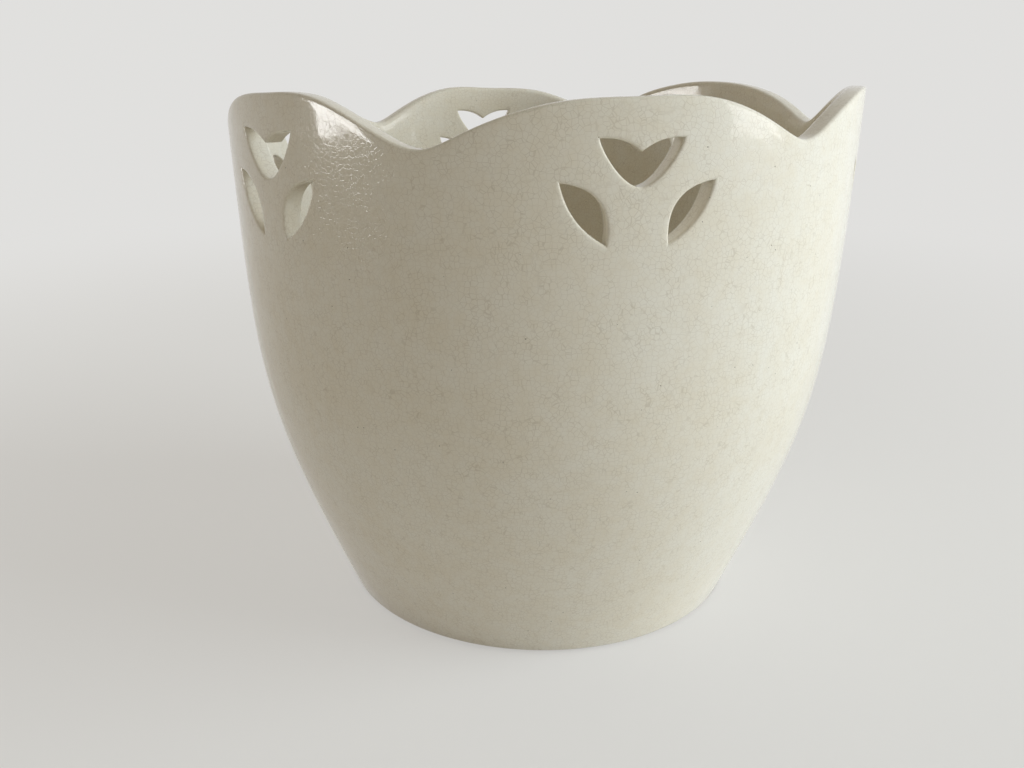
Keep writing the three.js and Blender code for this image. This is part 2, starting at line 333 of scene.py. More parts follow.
def arc(center, radius, start, end, steps):
    """Points of a round corner, both ends included."""
    angles = [mix(start, end, i / steps) for i in range(steps + 1)]
    return [center + radius * Vector((cos(angle), sin(angle))) for angle in angles]


def spread(low, high, step):
    """Levels from low to high, about a step apart, high left out."""
    count = max(1, round((high - low) / step))
    return [mix(low, high, i / count) for i in range(count)]


def wall_levels(pot, motif, low, lip_level):
    """Levels up the wall from a low one to the lip, close together where the motif is cut."""
    tops = [lip_height(pot, motif_angle(pot, motif, lobe)) for lobe in range(pot.lobes)]
    leaf_reach = motif.leaf_length / 2 * cos(motif.leaf_tilt)
    lowest = motif.tip_drop + (motif.leaf_drop + leaf_reach - motif.tip_drop) * max(motif.stretches)
    band_low = min(tops) - lowest - BAND_MARGIN
    band_high = max(tops) - motif.tip_drop + BAND_MARGIN
    return (
        spread(low, band_low, WALL_STEP)
        + spread(band_low, band_high, BAND_STEP)
        + spread(band_high, lip_level, 2 * BAND_STEP)
    )


def upper_section(pot, motif, inset, outer_low):
    """Half section from a level on the outer wall, over the lip, to the middle of the floor."""
    outer_lip = Vector((pot.rim_radius - pot.lip_round, pot.lobe_height - pot.lip_round))
    inner_lip = Vector((
        pot.rim_radius - pot.wall + pot.lip_inner_round, pot.lobe_height - pot.lip_inner_round
    ))
    floor_level = pot.foot_recess + pot.floor
    fillet_depth = pot.wall + pot.floor_fillet
    fillet_height = height_facing(pot, floor_level + pot.floor_fillet, fillet_depth)
    fillet_center = inside_wall(pot, fillet_height, fillet_depth)
    fillet_lean = wall_lean(pot, fillet_height)
    fillet = arc(fillet_center, pot.floor_fillet + inset, -fillet_lean, -pi / 2, FILLET_STEPS)
    outer_levels = wall_levels(pot, motif, outer_low, outer_lip.y)
    inner_levels = wall_levels(pot, motif, fillet[0].y, inner_lip.y)[1:]
    across_floor = [
        Vector((fillet[-1].x * (1 - i / FLOOR_STEPS), floor_level - inset))
        for i in range(1, FLOOR_STEPS + 1)
    ]
    return (
        [at_level(pot, level, inset) for level in outer_levels]
        + arc(outer_lip, pot.lip_round - inset, 0, pi / 2, LIP_STEPS)
        + arc(inner_lip, pot.lip_inner_round - inset, pi / 2, pi, LIP_STEPS)
        + [at_level(pot, level, pot.wall - inset) for level in reversed(inner_levels)]
        + fillet
        + across_floor
    )


def foot_corner(pot, inset):
    """Centre of the foot's outer rounding, and the lean of the wall above it."""
    height = height_facing(pot, pot.foot_round - inset, pot.foot_round)
    return inside_wall(pot, height, pot.foot_round), wall_lean(pot, height)


def glaze_section(pot, motif):
    """Half section of the glaze, which ends at the glaze line with its edge rolled in."""
    center, lean = foot_corner(pot, 0)
    line_angle = asin((pot.glaze_line - center.y) / pot.foot_round)
    foot = arc(center, pot.foot_round, line_angle, -lean, FOOT_STEPS)
    for i, point in enumerate(foot):
        rolled = pot.glaze_roll * (1 - sqrt(1 - (1 - i / FOOT_STEPS) ** 2))
        point += (center - point).normalized() * rolled
    return foot[:-1] + upper_section(pot, motif, 0, foot[-1].y)


def clay_section(pot, motif, ring_spacing, ring_depth):
    """Half section of the clay, from the middle of the hollow foot round to the floor above it."""
    center, lean = foot_corner(pot, pot.clay_inset)
    foot = arc(center, pot.foot_round - pot.clay_inset, -pi / 2, -lean, FOOT_STEPS)
    ring_inside = pot.foot_radius - pot.foot_round - pot.foot_ring_width
    hollow = [
        Vector((radius, pot.foot_recess + ring_depth * (1 - cos(tau * radius / ring_spacing)) / 2))
        for radius in spread(0, ring_inside - pot.foot_ring_chamfer, ring_spacing / RING_STEPS)
    ]
    hollow += [Vector((ring_inside - pot.foot_ring_chamfer, pot.foot_recess)), Vector((ring_inside, 0))]
    return hollow + foot[:-1] + upper_section(pot, motif, pot.clay_inset, foot[-1].y)


def turn(section):
    """Spins a half section, given as radius and height, round the axis into a closed skin."""
    bm = bmesh.new()
    verts = [bm.verts.new((0, -point.x, point.y)) for point in section]
    edges = [bm.edges.new(pair) for pair in zip(verts, verts[1:])]
    bmesh.ops.spin(
        bm, geom=verts + edges, cent=(0, 0, 0), axis=(0, 0, 1), dvec=(0, 0, 0),
        angle=tau, steps=COLUMNS, use_merge=True,
    )
    on_axis = [vert for vert in bm.verts if hypot(vert.co.x, vert.co.y) < MERGE_DISTANCE]
    bmesh.ops.remove_doubles(bm, verts=on_axis, dist=MERGE_DISTANCE)
    return bm


def angle_of(vert):
    return atan2(vert.co.x, -vert.co.y)


def put(vert, angle, radius, height):
    vert.co = (radius * sin(angle), -radius * cos(angle), height)


def motif_angle(pot, motif, lobe):
    """Where a lobe's motif stands round the pot."""
    return tau * lobe / pot.lobes + radians(motif.turns[lobe % pot.lobes])


def crowd(pot, motif, angle):
    """Moves an angle towards the motif of its lobe, where the mesh has to be finer."""
    half_turn = pi / pot.lobes
    lobe = round(angle / half_turn / 2)
    away = angle / half_turn - 2 * lobe
    start = ramp(-DENSE_SHARE, DENSE_BLEND)
    reach = abs(away) + ramp(abs(away) - DENSE_SHARE, DENSE_BLEND) - start
    whole = 1 + ramp(1 - DENSE_SHARE, DENSE_BLEND) - start
    crowded = reach / whole
    turned = radians(motif.turns[lobe % pot.lobes]) * (1 - smoothstep(crowded, DENSE_REACH, 1))
    return (2 * lobe + (crowded if away > 0 else -crowded)) * half_turn + turned


def lip_trim(pot, turns):
    """Trim of the lip in millimetres, as a smooth curve through the trims round it."""
    place = turns * len(pot.lip_trims)
    first = int(place)
    before, start, end, after = (
        pot.lip_trims[(first + step) % len(pot.lip_trims)] for step in (-1, 0, 1, 2)
    )
    part = place - first
    slope, next_slope = (end - before) / 2, (after - start) / 2
    bend = 3 * (end - start) - 2 * slope - next_slope
    twist = 2 * (start - end) + slope + next_slope
    return start + part * (slope + part * (bend + part * twist))


def lip_height(pot, angle):
    """Height of the lip at an angle: broad lobes with narrow rounded valleys between them, as trimmed."""
    turns = angle / tau % 1
    from_valley = abs(2 * (turns * pot.lobes % 1) - 1)
    whole = hypot(1, pot.valley_round) - pot.valley_round
    climb = min((hypot(from_valley, pot.valley_round) - pot.valley_round) / whole, 1)
    valley = (1 - climb) ** pot.valley_sharpness
    return pot.lobe_height + lip_trim(pot, turns) * MM - pot.valley_drop * valley


def scallop(bm, pot, motif):
    """Spaces the columns for the motif, and slides the top of the wall to the scalloped lip."""
    lip_level = pot.lobe_height - pot.lip_inner_round
    for vert in bm.verts:
        radius = hypot(vert.co.x, vert.co.y)
        angle = crowd(pot, motif, angle_of(vert))
        low = vert.co.z
        moved = smoothstep(low, pot.scallop_start, lip_level) * (lip_height(pot, angle) - pot.lobe_height)
        grown = wall_radius(pot, low + moved) - wall_radius(pot, low)
        put(vert, angle, radius + grown, low + moved)


class CutOut:
    """One cut-out on the unrolled wall: x is sideways from its lobe's middle, y is up from its top."""

    def __init__(self, curves, mirrored=False):
        points = [point for curve in curves for point in interpolate_bezier(*curve, CURVE_POINTS)[:-1]]
        if mirrored:
            points = [Vector((-point.x, point.y)) for point in reversed(points)]
        self.points = points
        self.miters = []
        self.corners = []
        for i, point in enumerate(points):
            before = (point - points[i - 1]).normalized()
            after = (points[(i + 1) % len(points)] - point).normalized()
            outward = Vector((before.y, -before.x)) + Vector((after.y, -after.x))
            self.miters.append(outward / (1 + before.dot(after)))
            if before.angle(after) > CORNER_TURN:
                self.corners.append(i)

    def at(self, along, offset):
        """The point at a place along the outline, moved out by an offset."""
        first = int(along) % len(self.points)
        second = (first + 1) % len(self.points)
        part = along - int(along)
        point = self.points[first].lerp(self.points[second], part)
        return point + offset * self.miters[first].lerp(self.miters[second], part)

    def loop(self, offset):
        return [self.at(i, offset) for i in range(len(self.points))]


def nearest(loop, point):
    """Distance from a point to a closed loop, and the nearest place along it."""
    best, along = None, 0
    for i, start in enumerate(loop):
        end = loop[(i + 1) % len(loop)]
        part = min(max(intersect_point_line(point, start, end)[1], 0), 1)
        distance = (point - start.lerp(end, part)).length
        if best is None or distance < best:
            best, along = distance, i + part
    return best, along


def crossing(loop, start, end):
    """The place along a closed loop where the line between two points crosses it."""
    for i, low in enumerate(loop):
        high = loop[(i + 1) % len(loop)]
        point = intersect_line_line_2d(start, end, low, high)
        if point is not None:
            return i + (point - low).length / (high - low).length
    raise RuntimeError("an edge of the wall doesn't cross the cut-out's outline")


def holds(loop, point):
    """Whether a closed loop goes round a point."""
    inside = False
    for i, low in enumerate(loop):
        high = loop[(i + 1) % len(loop)]
        if (low.y > point.y) != (high.y > point.y):
            if point.x < mix(low.x, high.x, (point.y - low.y) / (high.y - low.y)):
                inside = not inside
    return inside


def quadratic(start, control, end):
    """A curve with one control point, as a cubic one with two."""
    return start, start.lerp(control, 2 / 3), end.lerp(control, 2 / 3), end


def chevron(motif, stretch, width):
    """The chevron at the top of the motif: two leaves run together, with a notch between their tips."""
    def level(drop):
        return -motif.tip_drop - (drop - motif.tip_drop) * stretch

    tip_level = -motif.tip_drop
    bottom_level = level(motif.bottom_drop)
    tip_x = motif.half_width * width
    notch = Vector((0, level(motif.notch_drop)))
    left_tip = Vector((-tip_x, tip_level))
    right_tip = Vector((tip_x, tip_level))
    bottom = Vector((0, bottom_level))
    top_x = tip_x * motif.top_fullness
    top_y = (tip_level + notch.y) / 2 + motif.top_bulge
    side_x = tip_x * motif.side_fullness
    side_y = mix(tip_level, bottom_level, motif.side_sink)
    base_x = tip_x * motif.base_fullness
    return CutOut([
        quadratic(notch, Vector((-top_x, top_y)), left_tip),
        (left_tip, Vector((-side_x, side_y)), Vector((-base_x, bottom_level)), bottom),
        (bottom, Vector((base_x, bottom_level)), Vector((side_x, side_y)), right_tip),
        quadratic(right_tip, Vector((top_x, top_y)), notch),
    ])


def leaf(motif, stretch, width, side):
    """A leaf beside the chevron: side 1 is to the right of the lobe's middle, side -1 to the left."""
    middle_level = -motif.tip_drop - (motif.leaf_drop - motif.tip_drop) * stretch

    def place(x, y):
        turned_x = x * cos(motif.leaf_tilt) + y * sin(motif.leaf_tilt)
        turned_y = y * cos(motif.leaf_tilt) - x * sin(motif.leaf_tilt)
        return Vector((motif.leaf_across + turned_x * width, middle_level + turned_y * stretch))

    top = place(0, motif.leaf_length / 2)
    bottom = place(0, -motif.leaf_length / 2)
    inner = place(-2 * motif.leaf_inner_bulge, 0)
    outer = place(2 * motif.leaf_outer_bulge, 0)
    return CutOut([quadratic(top, inner, bottom), quadratic(bottom, outer, top)], mirrored=side < 0)


class Wall:
    """The unrolled wall round one lobe's motif, and how its vertices move on it."""

    def __init__(self, pot, motif, lobe):
        self.pot = pot
        self.angle = motif_angle(pot, motif, lobe)
        self.top = lip_height(pot, self.angle)

    def flat(self, vert):
        around = (angle_of(vert) - self.angle + pi) % tau - pi
        return Vector((around * self.pot.rim_radius, vert.co.z - self.top))

    def stand_off(self, vert):
        """How far a vertex stands outside the wall's outer face."""
        return hypot(vert.co.x, vert.co.y) - wall_radius(self.pot, vert.co.z)

    def move(self, vert, point, stand_off):
        height = self.top + point.y
        radius = wall_radius(self.pot, height) + stand_off
        put(vert, self.angle + point.x / self.pot.rim_radius, radius, height)


def faces_between(verts):
    """Faces whose corners are all among some vertices."""
    return {face for vert in verts for face in vert.link_faces if all(v in verts for v in face.verts)}


def split_corners(face, sides, flats, loop):
    """The two corners to join so that a square face falls into triangles that suit the outline."""
    corners = list(face.verts)
    on_line = [i for i, vert in enumerate(corners) if sides[vert] == 0]
    if len(on_line) == 2 and (on_line[1] - on_line[0]) % 4 != 2:
        other = [vert for vert in corners if sides[vert] < 0][0]
        middle = sum((flats[vert] for vert in corners), Vector((0, 0))) / 4
        across_hole = holds(loop, (flats[corners[on_line[0]]] + flats[corners[on_line[1]]] + middle) / 3)
        near_other = (corners.index(other) - on_line[0]) % 4 == 2
        first = on_line[0] if near_other == across_hole else on_line[1]
    elif on_line:
        first = on_line[0]
    else:
        first = min(range(4), key=lambda i: flats[corners[i]].x + flats[corners[i]].y)
    return corners[first], corners[(first + 2) % 4]


def cut_face(bm, wall, cut, offset, verts):
    """Cuts an outline out of one face of the wall. Returns the rim's vertices and their places along it."""
    loop = cut.loop(offset)
    flats = {vert: wall.flat(vert) for vert in verts}
    sides, along = {}, {}

    def settle(vert, place, stand_off):
        flats[vert] = cut.at(place, offset)
        wall.move(vert, flats[vert], stand_off)
        sides[vert], along[vert] = 0, place

    for corner in cut.corners:
        vert = min(verts, key=lambda v: (flats[v] - loop[corner]).length)
        settle(vert, corner, wall.stand_off(vert))
    for vert in verts:
        if vert not in sides:
            distance, place = nearest(loop, flats[vert])
            if distance < SNAP_SHARE * BAND_STEP:
                settle(vert, place, wall.stand_off(vert))
            else:
                sides[vert] = -1 if holds(loop, flats[vert]) else 1

    def crossed(corners):
        return min(sides[vert] for vert in corners) < 0 < max(sides[vert] for vert in corners)

    for face in faces_between(verts):
        if crossed(face.verts) and len(face.verts) == 4:
            bmesh.utils.face_split(face, *split_corners(face, sides, flats, loop))
    faces = {face for face in faces_between(verts) if crossed(face.verts)}
    for edge in {edge for face in faces for edge in face.edges if crossed(edge.verts)}:
        start, end = edge.verts
        place = crossing(loop, flats[start], flats[end])
        part = (cut.at(place, offset) - flats[start]).length / (flats[end] - flats[start]).length
        stand_off = mix(wall.stand_off(start), wall.stand_off(end), part)
        vert = bmesh.utils.edge_split(edge, start, part)[1]
        settle(vert, place, stand_off)
    for face in {face for face in faces_between(set(sides)) if crossed(face.verts)}:
        ends = [vert for vert in face.verts if sides[vert] == 0]
        bmesh.utils.face_split(face, *ends)

    def lost(face):
        middle = sum((flats[vert] for vert in face.verts), Vector((0, 0))) / len(face.verts)
        return max(sides[vert] for vert in face.verts) <= 0 and holds(loop, middle)

    gone = [face for face in faces_between(set(sides)) if lost(face)]
    bmesh.ops.delete(bm, geom=gone, context="FACES")
    rim = [vert for vert in along if vert.is_valid and vert.is_boundary]
    return {vert: along[vert] for vert in rim}


def rim_edges(rim):
    return {edge for vert in rim for edge in vert.link_edges if edge.is_boundary}


def line_cut(bm, wall, cut, inset, edge_round, outer, inner):
    """Joins the two rims of a cut-out with rounded edges and a straight lining between them."""
    depth = -sum(wall.stand_off(vert) for vert in inner) / len(inner)
    depth += sum(wall.stand_off(vert) for vert in outer) / len(outer)
    turns = [pi / 2 * i / EDGE_STEPS for i in range(1, EDGE_STEPS + 1)]
    rings = [(edge_round * (1 - sin(angle)), edge_round * (1 - cos(angle))) for angle in turns]
    middle = [(0, mix(edge_round, depth - edge_round, i / LINING_STEPS)) for i in range(1, LINING_STEPS)]
    back = [(offset, depth - sunk) for offset, sunk in reversed(rings)]
    for offset, sunk in rings + middle + back + [(edge_round, depth)]:
        made = bmesh.ops.extrude_edge_only(bm, edges=list(rim_edges(outer)))["geom"]
        fresh = [item for item in made if isinstance(item, bmesh.types.BMVert)]
        following = {}
        for vert in fresh:
            parent = next(e.other_vert(vert) for e in vert.link_edges if e.other_vert(vert) in outer)
            following[vert] = outer[parent]
        stand_off = -inset - sunk
        for vert, place in following.items():
            wall.move(vert, cut.at(place, inset + offset), stand_off)
        outer = following
    bmesh.ops.remove_doubles(bm, verts=list(outer) + list(inner), dist=RIM_MERGE_DISTANCE)


def pierce(bm, pot, motif, inset, edge_round):
    """Cuts the motif through every lobe of the wall."""
    margin = Vector((BAND_MARGIN, BAND_MARGIN))
    for lobe in range(pot.lobes):
        wall = Wall(pot, motif, lobe)
        size = motif.stretches[lobe], motif.widths[lobe]
        flats = {vert: wall.flat(vert) for vert in bm.verts if vert.co.z > pot.lobe_height / 2}
        for cut in (chevron(motif, *size), leaf(motif, *size, -1), leaf(motif, *size, 1)):
            low = Vector(map(min, zip(*cut.points))) - margin
            high = Vector(map(max, zip(*cut.points))) + margin
            flats = {vert: flat for vert, flat in flats.items() if vert.is_valid}
            near = {
                vert for vert, flat in flats.items()
                if low.x < flat.x < high.x and low.y < flat.y < high.y
            }
            front = {vert for vert in near if wall.stand_off(vert) > -pot.wall / 2}
            offset = inset + edge_round
            outer = cut_face(bm, wall, cut, offset, front)
            inner = cut_face(bm, wall, cut, offset, near - front)
            if len(outer) != len(inner):
                raise RuntimeError(f"the rims of a cut-out in lobe {lobe} don't match")
            line_cut(bm, wall, cut, inset, edge_round, outer, inner)


def make_uneven(bm, pot):
    """Lets the hand-finished faces wander a little, but not the foot that the pot stands on."""
    noise.seed_set(UNEVEN_SEED)
    for vert in bm.verts:
        fade = smoothstep(vert.co.z, pot.glaze_line, pot.foot_recess + pot.floor + pot.floor_fillet)
        vert.co += noise.noise_vector(vert.co / pot.uneven_span) * pot.unevenness * fade


def add_object(name, data):
    """Adds an object to the scene."""
    made = bpy.data.objects.new(name, data)
    bpy.context.scene.collection.objects.link(made)
    return made


def add_mesh(bm, name, material):
    """Turns a bmesh into an object of one material."""
    mesh = bpy.data.meshes.new(name)
    bm.to_mesh(mesh)
    bm.free()
    mesh.materials.append(material)
    return add_object(name, mesh)


def finish_piece(bm, name, node, material):
    """Turns a bmesh into a smooth piece that stands for a node of the frame."""
    bmesh.ops.recalc_face_normals(bm, faces=bm.faces)
    for face in bm.faces:
        face.smooth = True
    for edge in bm.edges:
        edge.smooth = edge.calc_face_angle(0) < RIDGE_ANGLE
    piece = add_mesh(bm, name, material)
    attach(piece, "root")
    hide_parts(node)
    return piece


def set_inputs(tree, node, values):
    """Sets a node's inputs. Each value is a constant, or the output that feeds that input."""
    for name, value in values.items():
        if isinstance(value, bpy.types.NodeSocket):
            tree.links.new(value, node.inputs[name])
        else:
            node.inputs[name].default_value = value


def add_node(tree, kind, values=None, **settings):
    """Adds a shader node with its settings and its inputs."""
    node = tree.nodes.new(f"ShaderNode{kind}")
    for name, setting in settings.items():
        setattr(node, name, setting)
    set_inputs(tree, node, values or {})
    return node


def reckon(tree, operation, *values):
    """A calculation on one to three values."""
    return add_node(tree, "Math", dict(enumerate(values)), operation=operation).outputs[0]


def weigh(tree, base, *weighted):
    """A base value plus each value times its weight."""
    total = base
    for value, weight in weighted:
        total = reckon(tree, "MULTIPLY_ADD", value, weight, total)
    return total


def move_point(tree, operation, values):
    """A calculation on vectors."""
    return add_node(tree, "VectorMath", values, operation=operation).outputs[0]


def tint(tree, factor, first, second):
    """Goes from the first colour to the second with a factor from 0 to 1."""
    values = {"Factor": factor, 6: first, 7: second}
    return add_node(tree, "Mix", values, data_type="RGBA").outputs[2]


def blend(tree, factor, first, second):
    """Goes from the first node's shader to the second's with a factor from 0 to 1."""
    return add_node(tree, "MixShader", {0: factor, 1: first.outputs[0], 2: second.outputs[0]})


def fit(tree, value, low, high, to_low=0, to_high=1):
    """Carries a value from one range smoothly into another."""
    values = {"Value": value, "From Min": low, "From Max": high, "To Min": to_low, "To Max": to_high}
    return add_node(tree, "MapRange", values, interpolation_type="SMOOTHSTEP").outputs["Result"]


def opaque(colour):
    return (*colour, 1)


def new_group(name, sizes, output):
    """A shader node group that takes a place on the object and some sizes, and gives one value."""
    tree = bpy.data.node_groups.new(name, "ShaderNodeTree")
    tree.interface.new_socket("Vector", in_out="INPUT", socket_type="NodeSocketVector")
    for size in sizes:
        tree.interface.new_socket(size, in_out="INPUT", socket_type="NodeSocketFloat")
    tree.interface.new_socket(output, in_out="OUTPUT", socket_type="NodeSocketFloat")
    return tree, tree.nodes.new("NodeGroupInput").outputs, tree.nodes.new("NodeGroupOutput").inputs[0]


def use_group(tree, group, place, **values):
    """Adds a node group at a place on the object, and gives its one output."""
    return add_node(tree, "Group", {"Vector": place, **values}, node_tree=group).outputs[0]


def cloud_group():
    """Soft clouds from 0 to 1 of a given span, the same whatever turns the surface takes."""
    tree, given, result = new_group("clouds", ["Span"], "Cloud")
    scale = reckon(tree, "DIVIDE", 1, given["Span"])
    values = {
        "Vector": given["Vector"], "Scale": scale, "Detail": CLOUD_DETAIL, "Roughness": CLOUD_ROUGHNESS,
    }
    noise_value = add_node(tree, "TexNoise", values).outputs["Fac"]
    tree.links.new(fit(tree, noise_value, *CLOUD_RANGE), result)
    return tree


def speck_group():
    """Round specks up to a given size, at a given share of places a given spacing apart."""
    tree, given, result = new_group("specks", ["Spacing", "Size", "Amount"], "Speck")
    scale = reckon(tree, "DIVIDE", 1, given["Spacing"])
    cells = add_node(tree, "TexVoronoi", {"Vector": given["Vector"], "Scale": scale})
    lot = add_node(tree, "SeparateColor", {"Color": cells.outputs["Color"]}).outputs["Red"]
    chosen = reckon(tree, "LESS_THAN", lot, given["Amount"])
    away = reckon(tree, "MULTIPLY", cells.outputs["Distance"], given["Spacing"])
    core = reckon(tree, "MULTIPLY", given["Size"], SPECK_CORE)
    spot = fit(tree, away, core, given["Size"], 1, 0)
    tree.links.new(reckon(tree, "MULTIPLY", chosen, spot), result)
    return tree


def craze_group():
    """A net of thin wandering cracks with cells of a given size, some fainter than others."""
    tree, given, result = new_group("crazing", ["Cell", "Width"], "Crack")
    scale = reckon(tree, "DIVIDE", 1, given["Cell"])
    bend_scale = reckon(tree, "MULTIPLY", scale, CRAZE_BENDS)
    bends = add_node(tree, "TexNoise", {"Vector": given["Vector"], "Scale": bend_scale, "Detail": 1})
    swing = reckon(tree, "MULTIPLY", given["Cell"], CRAZE_SWING)
    centred = move_point(tree, "SUBTRACT", {0: bends.outputs["Color"], 1: (0.5, 0.5, 0.5)})
    shift = move_point(tree, "SCALE", {0: centred, "Scale": swing})
    place = move_point(tree, "ADD", {0: given["Vector"], 1: shift})
    cells = add_node(
        tree, "TexVoronoi", {"Vector": place, "Scale": scale, "Randomness": CRAZE_RANDOMNESS},
        feature="DISTANCE_TO_EDGE",
    )
    away = reckon(tree, "MULTIPLY", cells.outputs["Distance"], given["Cell"])
    core = reckon(tree, "MULTIPLY", given["Width"], CRAZE_CORE)
    crack = fit(tree, away, core, given["Width"], 1, 0)
    fade_scale = reckon(tree, "MULTIPLY", scale, CRAZE_FADES)
    fade = add_node(tree, "TexNoise", {"Vector": given["Vector"], "Scale": fade_scale, "Detail": 1})
    strength = fit(tree, fade.outputs["Fac"], *CRAZE_FADE_RANGE, CRAZE_FAINTEST, 1)
    tree.links.new(reckon(tree, "MULTIPLY", crack, strength), result)
    return tree


def relief(tree, *weighted):
    """The normal of a surface raised by each value times its height."""
    height = weigh(tree, 0, *((value, raised / MM) for value, raised in weighted))
    return add_node(tree, "Bump", {"Height": height, "Distance": MM}).outputs["Normal"]


def new_material(name):
    """A material with its tree, its surface shader and the place on the object."""
    material = bpy.data.materials.new(name)
    material.use_nodes = True
    tree = material.node_tree
    place = add_node(tree, "TexCoord").outputs["Object"]
    return material, tree, tree.nodes["Principled BSDF"], place


def glaze_material(finish, clouds, specks, crazing):
    """Glossy ivory glaze, a little cloudy, with stained crazing and a few pinholes."""
    material, tree, shader, place = new_material("crackle_glaze")
    patches = use_group(tree, clouds, place, Span=finish.cloud_span)
    mottle = use_group(tree, clouds, place, Span=finish.mottle_span)
    fine = use_group(tree, clouds, place, Span=finish.fine_span)
    thin = weigh(tree, 0, (patches, PATCH_SHARE), (mottle, MOTTLE_SHARE), (fine, FINE_SHARE))
    body = tint(tree, thin, opaque(finish.ivory), opaque(finish.warm_ivory))
    small = use_group(tree, crazing, place, Cell=finish.craze_cell, Width=finish.craze_width)
    large = use_group(tree, crazing, place, Cell=finish.large_craze_cell, Width=finish.large_craze_width)
    large = reckon(tree, "MULTIPLY", large, finish.large_craze_share)
    cracks = reckon(tree, "MAXIMUM", small, large)
    stain = reckon(tree, "MULTIPLY", cracks, finish.craze_strength)
    crazed = tint(tree, stain, body, opaque(finish.craze_colour))
    holes = use_group(
        tree, specks, place,
        Spacing=finish.pinhole_spacing, Size=finish.pinhole_size, Amount=finish.pinhole_amount,
    )
    # Pinholes are painted darker, towards the pinhole colour
    hole_darkening = reckon(tree, "MULTIPLY", holes, finish.pinhole_darkening)
    spotted = tint(tree, hole_darkening, crazed, opaque(finish.pinhole_colour))
    bump = relief(
        tree, (patches, finish.swell_depth), (mottle, finish.mottle_depth),
        (cracks, -finish.craze_depth), (holes, -finish.pinhole_depth),
    )
    dull = weigh(
        tree, finish.roughness, (patches, finish.patch_roughness), (cracks, finish.craze_roughness)
    )
    set_inputs(tree, shader, {"Base Color": spotted, "Roughness": dull, "Normal": bump})
    return material


def clay_material(finish, clouds, specks):
    """Dry fired clay, patchy, with grit."""
    material, tree, shader, place = new_material("fired_clay")
    patches = use_group(tree, clouds, place, Span=finish.patch_span)
    grain = use_group(tree, clouds, place, Span=finish.grain_span)
    pale = weigh(tree, 0, (patches, 1 - finish.grain_share), (grain, finish.grain_share))
    body = tint(tree, pale, opaque(finish.buff), opaque(finish.pale_buff))
    grit = use_group(
        tree, specks, place,
        Spacing=finish.grit_spacing, Size=finish.grit_size, Amount=finish.grit_amount,
    )
    grit_stain = reckon(tree, "MULTIPLY", grit, finish.grit_stain)
    gritty = tint(tree, grit_stain, body, opaque(finish.grit_colour))
    bump = relief(tree, (grit, finish.grain_height), (grain, finish.grain_height))
    set_inputs(tree, shader, {"Base Color": gritty, "Roughness": finish.roughness, "Normal": bump})
    return material


def shared_group(name, maker):
    """A node group by its name, made on first use."""
    return bpy.data.node_groups.get(name) or maker()


class POT_OT_glaze_coat(bpy.types.Operator):
    """Models the glaze as a closed skin over the whole pot above the glaze line"""

    bl_idname = "flower_pot.glaze_coat"
    bl_label = "Glaze Coat"

    def execute(self, context):
        pot, motif = plain(context.scene.pot_sizes), plain(context.scene.motif_sizes)
        bm = turn(glaze_section(pot, motif))
        scallop(bm, pot, motif)
        pierce(bm, pot, motif, 0, motif.edge_round)
        make_uneven(bm, pot)
        material = glaze_material(
            context.scene.glaze_finish, shared_group("clouds", cloud_group),
            shared_group("specks", speck_group), craze_group(),
        )
        piece = finish_piece(bm, "glaze_skin", "glaze_coat", material)
        skin = piece.modifiers.new("Thickness", "SOLIDIFY")
        skin.thickness = pot.glaze
        skin.offset = -1
        skin.use_even_offset = True
        return {"FINISHED"}


class POT_OT_clay_body(bpy.types.Operator):
    """Models the fired clay under the glaze, with its bare foot ring"""

    bl_idname = "flower_pot.clay_body"
    bl_label = "Clay Body"

    def execute(self, context):
        pot, motif = plain(context.scene.pot_sizes), plain(context.scene.motif_sizes)
        finish = context.scene.clay_finish
        bm = turn(clay_section(pot, motif, finish.ring_spacing, finish.ring_depth))
        scallop(bm, pot, motif)
        pierce(bm, pot, motif, pot.clay_inset, motif.clay_edge_round)
        make_uneven(bm, pot)
        material = clay_material(
            finish, shared_group("clouds", cloud_group), shared_group("specks", speck_group)
        )
        finish_piece(bm, "earthenware", "clay_body", material)
        return {"FINISHED"}


def looking_rays(tree):
    """The kinds of rays, and a one for those that look at things, by way of gloss or glass too."""
    rays = add_node(tree, "LightPath").outputs
    seen = reckon(tree, "MAXIMUM", rays["Is Camera Ray"], rays["Is Glossy Ray"])
    return rays, reckon(tree, "MAXIMUM", seen, rays["Is Transmission Ray"])


def floor_material(studio):
    """A pale floor that melts into the backdrop far out, and is open to a camera below it."""
    material, tree, shader, place = new_material("studio_floor")
    set_inputs(tree, shader, {"Base Color": opaque(studio.floor), "Roughness": studio.floor_roughness})
    far = add_node(tree, "VectorMath", {0: place}, operation="LENGTH").outputs["Value"]
    fade = fit(tree, far, studio.fade_start, studio.fade_end, studio.floor_glow, 1)
    rays, seen = looking_rays(tree)
    glow = add_node(tree, "Emission", {"Color": opaque(studio.backdrop), "Strength": 1})
    fading = blend(tree, reckon(tree, "MULTIPLY", fade, seen), shader, glow)
    back = add_node(tree, "NewGeometry").outputs["Backfacing"]
    clear = add_node(tree, "BsdfTransparent")
    surface = blend(tree, reckon(tree, "MULTIPLY", back, rays["Is Camera Ray"]), fading, clear)
    tree.links.new(surface.outputs[0], tree.nodes["Material Output"].inputs["Surface"])
    return material


def studio_world(studio):
    """Light from all round, behind a pale backdrop that cameras and gloss see."""
    world = bpy.data.worlds.new("studio")
    world.use_nodes = True
    tree = world.node_tree
    light = tree.nodes["Background"]
    set_inputs(tree, light, {"Color": opaque(studio.ambient), "Strength": studio.ambient_strength})
    seen = looking_rays(tree)[1]
    backdrop = add_node(tree, "Background", {"Color": opaque(studio.backdrop), "Strength": 1})
    surface = blend(tree, seen, light, backdrop)
    tree.links.new(surface.outputs[0], tree.nodes["World Output"].inputs["Surface"])
    return world


